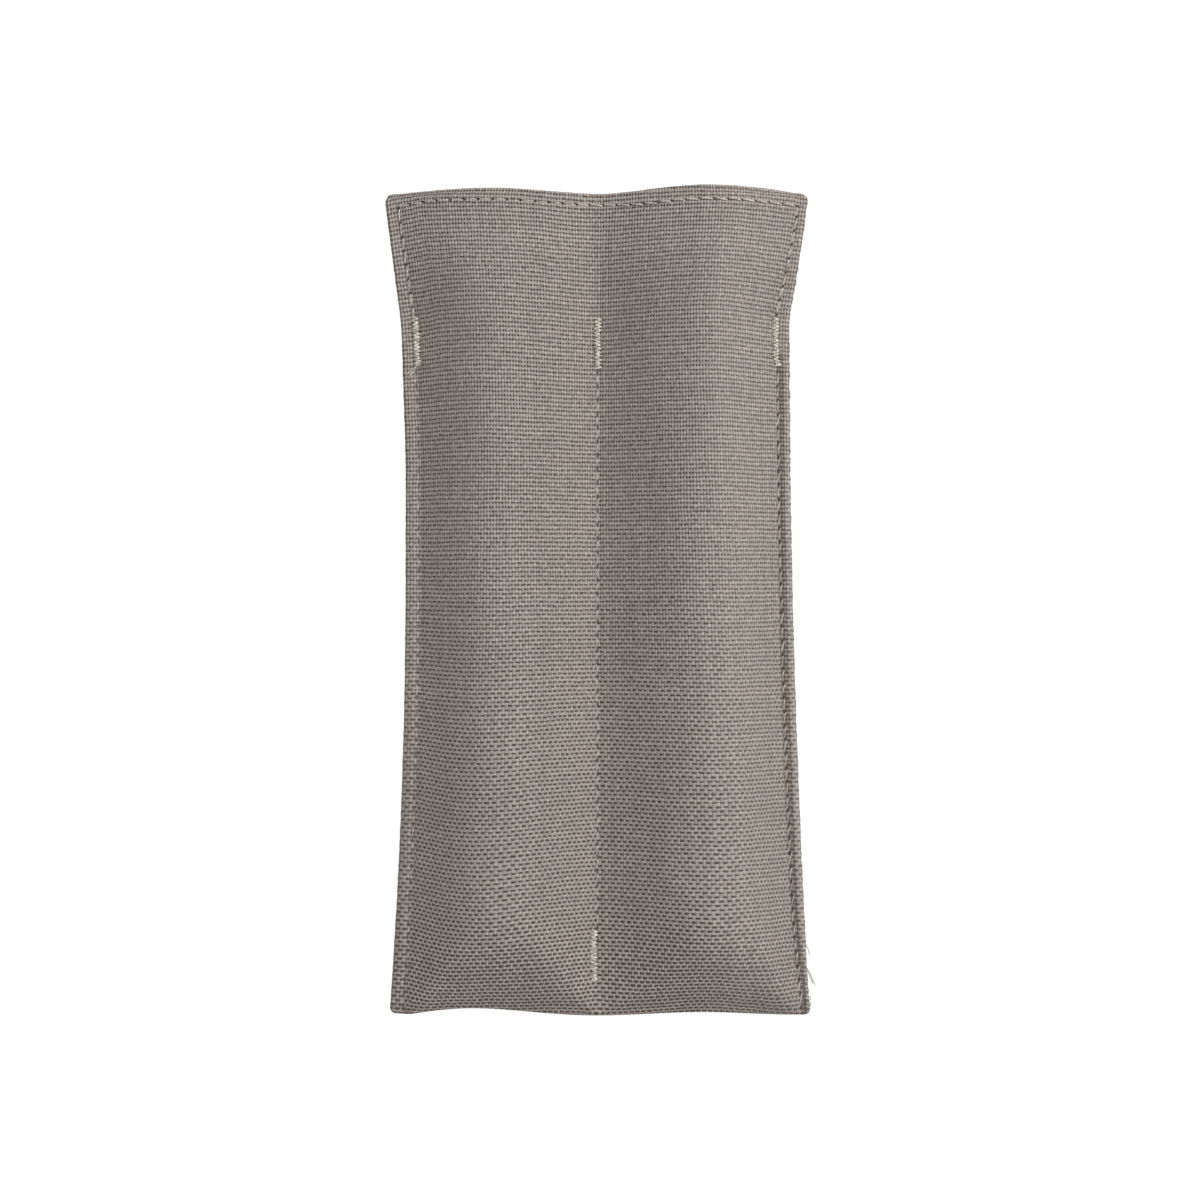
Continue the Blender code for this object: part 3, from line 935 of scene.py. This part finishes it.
for seed, (name, line) in enumerate(stitchLines.items()):
    sewThread(name, line, seed)
filaments = tubes("looseFilaments", [looseEnd(places) for places in loose["filaments"]], loose["radius"])

# the inner threads of the hems lie against the inner ply
for seed, (name, layer) in enumerate((("front_hem_bobbin_thread", front), ("back_hem_bobbin_thread", back)), 40):
    sewThread(name, [(spot - normal * plyStep, -normal) for spot, normal in hemLine(layer)], seed)

tacks = []
for seed, (name, line) in enumerate(tackLines.items(), 60):
    runs = twistedRuns(*zigzag(line, seed), tack["radius"])
    height = halfCloth + tack["radius"] * tack["paddingRise"]
    padding = [spot + normal * height for spot, normal in spotsAlong(line, tack["paddingSteps"])]
    sideways = Vector((tack["paddingAside"], 0, 0))
    runs += [[point + sideways for point in padding], [point - sideways for point in padding]]
    if name == "left_bartack_needle_thread":
        runs.append(looseEnd(loose["tackLoop"]))
    tacks.append((tubes(name.replace("_thread", ""), runs, tack["radius"] * tack["plyShare"]), name))
print("threads spun:", len(threads), "seams and", len(tacks), "bartacks")


# an sRGB code in linear values
def linearColour(code):
    values = [int(code[index:index + 2], 16) / 255 for index in (1, 3, 5)]
    return tuple(v / 12.92 if v <= 0.04045 else ((v + 0.055) / 1.055) ** 2.4 for v in values) + (1,)


# kind is the node's name and its operation, and values are its inputs by place or by name; it gives the outputs
def addNode(tree, kind, values=(), **settings):
    kind, *operation = kind.split()
    node = tree.nodes.new("ShaderNode" + kind)
    for name in operation:
        node.operation = name
    for key, value in settings.items():
        setattr(node, key, value)
    for key, value in values.items() if isinstance(values, dict) else enumerate(values):
        if isinstance(value, bpy.types.NodeSocket):
            tree.links.new(value, node.inputs[key])
        else:
            node.inputs[key].default_value = value
    return node.outputs


def newMaterial(name):
    made = bpy.data.materials.new(name)
    made.use_nodes = True
    tree = made.node_tree
    return made, tree, tree.nodes["Principled BSDF"]


def finishMaterial(tree, shader, colour, bump, roughness):
    tree.links.new(colour, shader.inputs["Base Color"])
    tree.links.new(bump, shader.inputs["Normal"])
    shader.inputs["Roughness"].default_value = roughness


smooth = {"interpolation_type": "SMOOTHSTEP"}
weave = {
    "warpPitch": 0.00062,  # yarn spacing across the case
    "weftPitch": 0.00087,  # and up it
    "half": 0.47,  # half a yarn's width, in pitches
    "stray": (1.2, 0.7, 0),  # how far the yarns leave their lines, in pitches
    "relief": 0.00014,  # from a pore to a crown
    "poreDepth": 0.6,
    "foldPlace": 0.098,  # how far below the straight weft row the strip is folded
    "opened": (0.133, 0.038),  # the pores open from this far off the fold to this near it
    "folded": (0.032, 0.01),  # and the fold's own pattern sets in
    "foldOpen": 0.25,
    # what each share is at the mouth and at the fold, and what the fold's own pattern adds
    "shares": {
        "row": (0.5, 0.44, 0.04),
        "brick": (0.12, 0.52, 0.1),
        "dot": (0.33, 0.02, 0.0),
        "poreFrom": (-0.2, -0.3, 0.12),
        "poreTo": (0.97, 1.03, -0.27),
    },
    # each range is from, to, and what is multiplied in at those two
    "creased": (0.001, 0.008, 0.45, 1.0),  # less of the fold's pattern at the crease
    "firmer": (-0.004, 0.008, 1.0, 1.2),  # and more on the right channel
    "closed": (0.0402, 0.0416, 1.0, 0.88),  # smaller pores on the side bands
    "litFlankPores": (0.02, 0.03, 1.0, 0.82),  # and on the right flank, painted light where it faces the lamp
    "lessPoreShadeAtFold": (0.0, 1.0, 1.0, 0.86),
    "yarnTone": (0.0, 1.0, 0.92, 1.08),
    "fibreTone": (0.3, 0.7, 0.82, 1.18),
    "cellTone": (0.0, 1.0, 0.88, 1.12),
    "crownLightAndShade": (0.3, 1.0, 0.8, 1.18),
    "foldPaintedLight": (0.0, 1.0, 1.0, 1.08),
    "groove": ((-0.0003, 0.0001), (0.0017, 0.0007)),  # where the hollow beside a seam begins and ends
    "groovePoreShade": 0.5,  # painted shade in the hollow: how much the pores open in it, and how dark its yarns are
    "grooveYarnShade": 0.2,
    "holeLong": 0.0006,  # half-lengths of a needle hole
    "holeWide": 0.0003,
    "yarn": "#aaa199",
    "tan": "#a59684",
    # the pore colour is the gap between the yarns with painted shade in it
    "shadedPore": "#46342a",
    "roughness": 0.62,
}


# plain-woven nylon: round matt yarns that pass over and under each other, with pores between them that are real gaps
# painted dark with shade, and crowns painted lighter
def wovenNylon():
    made, tree, shader = newMaterial("plain-woven nylon")
    add = partial(addNode, tree)

    def cosineOf(output, turns, phase=0.0):
        angle = add("Math MULTIPLY_ADD", [output, turns * 2 * math.pi, phase])[0]
        return add("Math COSINE", [angle])[0]

    # the output times one factor for each range
    def changed(output, *ranges):
        for value, key in ranges:
            ends = dict(zip(("From Min", "From Max", "To Min", "To Max"), weave[key]), Value=value)
            output = add("Math MULTIPLY", [output, add("MapRange", ends)[0]])[0]
        return output

    strip = add("UVMap", uv_map="yarns")[0]
    stripPlace = add("SeparateXYZ", [strip])
    fromMiddle = add("Math ABSOLUTE", [stripPlace[0]])[0]
    drift = add("TexNoise", {"Vector": strip, "Scale": 120.0, "Detail": 4.0, "Roughness": 0.66})["Color"]
    shift = add("VectorMath MULTIPLY_ADD", [drift, weave["stray"], [-reach / 2 for reach in weave["stray"]]])[0]
    perMetre = (1 / weave["warpPitch"], 1 / weave["weftPitch"], 0)
    counted = add("VectorMath MULTIPLY_ADD", [strip, perMetre, shift])[0]
    yarnPlace = add("SeparateXYZ", [counted])
    number, middle, patches = {}, {}, {}
    for key, output in (("warp", yarnPlace[0]), ("weft", yarnPlace[1])):
        number[key] = add("Math FLOOR", [output])[0]
        part = add("Math FRACT", [output])[0]
        middle[key] = add("Math SUBTRACT", [part, 0.5])[0]
    for key, place, stretch, detail in (
        ("slack", counted, (0.75, 0.95, 0), 2.0),
        ("slub", strip, (230.0, 1150.0, 0), 2.0),
        ("fibre", strip, (3000.0, 3000.0, 0), 1.0),
    ):
        stretched = add("VectorMath MULTIPLY", [place, stretch])[0]
        patches[key] = add("TexNoise", {"Vector": stretched, "Scale": 1.0, "Detail": detail})["Fac"]

    # an open needle hole at the end of every stitch, darkened with painted shade, and painted shade in the hollow
    # beside the seam
    seam = add("SeparateXYZ", [add("Attribute", attribute_name="seam")["Vector"]])
    fromStart = add("Math PINGPONG", [seam[1], 0.5])[0]
    toHole = add("Math MULTIPLY", [fromStart, stitch["pitch"] / weave["holeLong"]])[0]
    aside = add("Math DIVIDE", [seam[0], weave["holeWide"]])[0]
    holePlace = add("CombineXYZ", [toHole, aside])[0]
    fromHole = add("VectorMath LENGTH", [holePlace])["Value"]
    showing = add("Attribute", attribute_name="holes")["Fac"]
    holeEnds = {"Value": fromHole, "From Min": 1.3, "From Max": 0.6, "To Max": showing}
    needleHoleShade = add("MapRange", holeEnds, **smooth)[0]
    groove = seam[2]
    for start, end in weave["groove"]:
        within = add("MapRange", {"Value": seam[0], "From Min": start, "From Max": end}, **smooth)[0]
        groove = add("Math MULTIPLY", [groove, within])[0]

    # towards the fold the small pores join into long ones in a brick pattern, painted shade below the weft floats
    pastFold = add("Math ADD", [stripPlace[1], weave["foldPlace"]])[0]
    toFold = add("Math ABSOLUTE", [pastFold])[0]
    opened, folded = (
        add("MapRange", {"Value": toFold, "From Min": weave[key][0], "From Max": weave[key][1]}, **smooth)[0]
        for key in ("opened", "folded")
    )
    folded = changed(folded, (fromMiddle, "creased"), (stripPlace[0], "firmer"))
    shares = {}
    for key, (atMouth, atFold, more) in weave["shares"].items():
        share = add("MapRange", {"Value": opened, "To Min": atMouth, "To Max": atFold})[0]
        shares[key] = add("Math MULTIPLY_ADD", [folded, more, share])[0]
    bricks = add("Math MULTIPLY", [cosineOf(yarnPlace[0], 0.5, -math.pi / 2), cosineOf(yarnPlace[1], 0.5)])[0]
    field = add("Math MULTIPLY", [cosineOf(yarnPlace[1], 1), shares["row"]])[0]
    field = add("Math MULTIPLY_ADD", [bricks, shares["brick"], field])[0]
    field = add("Math MULTIPLY_ADD", [cosineOf(yarnPlace[0], 1), shares["dot"], field])[0]
    slackEnds = {"Value": patches["slack"], "From Min": 0.25, "From Max": 0.75, "To Min": -0.32, "To Max": 0.32}
    field = add("Math ADD", [field, add("MapRange", slackEnds)[0]])[0]
    field = add("Math MULTIPLY_ADD", [folded, weave["foldOpen"], field])[0]
    # painted shade: the pores open wider in the hollow beside a seam
    field = add("Math MULTIPLY_ADD", [groove, weave["groovePoreShade"], field])[0]
    # painted shade: where the pores are dark; the same share sinks the bump
    poreEnds = {"Value": field, "From Min": shares["poreFrom"], "From Max": shares["poreTo"]}
    shadedPore = changed(add("MapRange", poreEnds, **smooth)[0], (fromMiddle, "closed"), (stripPlace[0], "litFlankPores"))

    # round yarns, each over one and under the next
    crossing = add("Math ADD", [number["warp"], number["weft"]])[0]
    odd = add("Math FLOORED_MODULO", [crossing, 2.0])[0]
    sign = add("Math MULTIPLY_ADD", [odd, -2.0, 1.0])[0]
    height, tones = {}, {}
    for key, other, direction in (("warp", "weft", 1.0), ("weft", "warp", -1.0)):
        lift = add("Math MULTIPLY", [cosineOf(middle[other], 0.5), sign])[0]
        over = add("Math DIVIDE", [middle[key], weave["half"]])[0]
        square = add("Math MULTIPLY", [over, over])[0]
        crown = add("Math SUBTRACT", [1.0, square])[0]
        height[key] = add("Math MULTIPLY_ADD", [lift, direction, crown])[0]
        tones[key] = add("TexWhiteNoise", {"W": number[key]}, noise_dimensions="1D")["Value"]
    top = add("Math MAXIMUM", [height["warp"], height["weft"]])[0]
    crowns = add("MapRange", {"Value": top, "From Min": -0.2, "From Max": 2.0})[0]
    sunk = add("Math MULTIPLY_ADD", [shadedPore, -weave["poreDepth"], crowns])[0]
    warpShows = add("Math GREATER_THAN", [height["warp"], height["weft"]])[0]

    # each yarn has its own tone, and the weft has tan slubs a few millimetres long
    tone = add("Mix", {"Factor": warpShows, "A": tones["weft"], "B": tones["warp"]})[0]
    tanShare = add("MapRange", {"Value": patches["slub"], "From Min": 0.58, "From Max": 0.8, "To Max": 0.35})[0]
    yarnMix = {"Factor": tanShare, "A": linearColour(weave["yarn"]), "B": linearColour(weave["tan"])}
    yarn = add("Mix", yarnMix, data_type="RGBA")[2]
    cell = add("CombineXYZ", [number["warp"], number["weft"]])[0]
    chance = add("TexWhiteNoise", {"Vector": cell}, noise_dimensions="2D")["Value"]
    # painted light and shade: the crowns lighter and the yarns' low parts darker, and all lighter at the fold
    strength = changed(
        1.0, (tone, "yarnTone"), (patches["fibre"], "fibreTone"), (chance, "cellTone"),
        (crowns, "crownLightAndShade"), (folded, "foldPaintedLight"),
    )
    colour = add("VectorMath SCALE", {0: yarn, "Scale": strength})[0]
    # painted shade: the yarns in the hollow beside a seam are darkened
    grooveShade = add("Math MULTIPLY", [groove, weave["grooveYarnShade"]])[0]
    # less painted pore shade at the fold
    shadedPore = changed(shadedPore, (folded, "lessPoreShadeAtFold"))
    # painted shade: the darker of the pores and the needle holes
    dark = add("Math MAXIMUM", [shadedPore, needleHoleShade])[0]
    # painted shade mixed in the pore colour: in the seam's hollow, then in the pores and needle holes
    for share in (grooveShade, dark):
        colour = add("Mix", {"Factor": share, "A": colour, "B": linearColour(weave["shadedPore"])}, data_type="RGBA")[2]
    bump = add("Bump", {"Strength": 1.0, "Distance": weave["relief"], "Height": sunk})[0]
    finishMaterial(tree, shader, colour, bump, weave["roughness"])
    shader.inputs["Sheen Weight"].default_value = 0.05
    shader.inputs["Sheen Roughness"].default_value = 0.5
    return made


threadLooks = {
    "taupe": {"name": "bonded polyester thread", "colour": "#e3dad0", "dark": "#aba096", "roughness": 0.38},
    "cream": {"name": "cream spun thread", "colour": "#fffaf0", "dark": "#beb1a2", "roughness": 0.42},
    "frayed": {"name": "frayed nylon fibre", "colour": "#8d8279", "dark": "#6b615a", "roughness": 0.5},
}


# twisted thread: smooth lit plies with darker grooves between them
def threadMaterial(look):
    made, tree, shader = newMaterial(look["name"])
    add = partial(addNode, tree)
    place = add("TexCoord")["Object"]
    tone = add("TexNoise", {"Vector": place, "Scale": 1500.0, "Detail": 2.0})["Fac"]
    share = add("MapRange", {"Value": tone, "From Min": 0.35, "From Max": 0.62})[0]
    ends = {"Factor": share, "A": linearColour(look["dark"]), "B": linearColour(look["colour"])}
    colour = add("Mix", ends, data_type="RGBA")[2]
    fibres = add("TexNoise", {"Vector": place, "Scale": 9000.0, "Detail": 1.0})["Fac"]
    bump = add("Bump", {"Strength": 0.4, "Distance": 0.00003, "Height": fibres})[0]
    finishMaterial(tree, shader, colour, bump, look["roughness"])
    return made


nylon = wovenNylon()
taupeThread, creamThread, frayedFibre = (threadMaterial(threadLooks[key]) for key in ("taupe", "cream", "frayed"))
print("materials made")


# the bodies, and what each piece stands for; the cloth bends over this length at each hinge
bend = {"below": 0.002, "above": 0.014}
bendStart = (0, hingeY - bend["below"], 0)
bendEnd = (0, hingeY + bend["above"], 0)


def bendsWithLip(piece, lip):
    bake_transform(piece, "pouch", lip, start=bendStart, end=bendEnd)


for piece, lip, nodes in (
    (frontCloth, "front_lip", ("front_panel", "front_lip")),
    (backCloth, "back_lip", ("back_panel", "back_lip")),
):
    piece.data.materials.clear()
    piece.data.materials.append(nylon)
    bendsWithLip(piece, lip)
    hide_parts(*nodes)

for piece, node in threads:
    piece.data.materials.append(taupeThread)
    if "hem" in node:
        bendsWithLip(piece, "front_lip" if node.startswith("front") else "back_lip")
    else:
        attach(piece, "pouch")
    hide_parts(node)
filaments.data.materials.append(frayedFibre)
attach(filaments, "pouch")
for piece, node in tacks:
    piece.data.materials.append(creamThread)
    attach(piece, "pouch")
    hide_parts(node)


# the studio: a white table, soft lamps from the right and from above, and an even white sky
studio = {
    "lamps": {
        "right softbox": {"place": (0.85, 0.27, 0.78), "size": 0.6, "power": 7.4},
        "top softbox": {"place": (0, 0.4, 1.25), "size": 0.9, "power": 6.3},
    },
    "sky": 0.2,
    "tableSize": 6,
    "tableColour": "#e8e8e8",
    "tableGlow": 1.08,
    "tableShadow": 0.1,  # how much of the lit table the camera sees over plain white
    "cameraPlace": (0.00052, 0.0005, 0.456),
    "lens": 65.06,
}

tableMesh = bmesh.new()
bmesh.ops.create_grid(tableMesh, x_segments=1, y_segments=1, size=studio["tableSize"] / 2)
tableData = bpy.data.meshes.new("table")
tableMesh.to_mesh(tableData)
tableMesh.free()
table = newObject("table", tableData)

white, tree, shader = newMaterial("white table")
shader.inputs["Base Color"].default_value = linearColour(studio["tableColour"])
shader.inputs["Roughness"].default_value = 1.0
shader.inputs["Specular IOR Level"].default_value = 0.0
ray = addNode(tree, "LightPath")
seen = addNode(tree, "Math MAXIMUM", [ray["Is Camera Ray"], ray["Is Glossy Ray"]])[0]
seenShare = addNode(tree, "Math MULTIPLY", [seen, 1 - studio["tableShadow"]])[0]
glow = addNode(tree, "Emission", {"Color": (1, 1, 1, 1), "Strength": studio["tableGlow"]})[0]
mixed = addNode(tree, "MixShader", [seenShare, shader.outputs[0], glow])[0]
tree.links.new(mixed, tree.nodes["Material Output"].inputs["Surface"])
tableData.materials.append(white)

world = bpy.data.worlds.new("white studio")
scene.world = world
world.use_nodes = True
tree = world.node_tree
sky = tree.nodes["Background"]
sky.inputs["Color"].default_value = (1, 1, 1, 1)
skyEnds = {"Value": addNode(tree, "LightPath")["Is Camera Ray"], "To Min": studio["sky"], "To Max": 1.0}
tree.links.new(addNode(tree, "MapRange", skyEnds)[0], sky.inputs["Strength"])

for name, values in studio["lamps"].items():
    lamp = bpy.data.lights.new(name, "AREA")
    lamp.size = values["size"]
    lamp.energy = values["power"]
    lampObject = newObject(name, lamp)
    lampObject.location = values["place"]
    lampObject.rotation_euler = (-lampObject.location).to_track_quat("-Z", "Y").to_euler()

camera = bpy.data.cameras.new("camera")
camera.lens = studio["lens"]
camera.sensor_width = 36
camera.clip_start = 0.01
cameraObject = newObject("camera", camera)
cameraObject.location = studio["cameraPlace"]
scene.camera = cameraObject
scene.view_settings.view_transform = "Standard"
print("studio set")
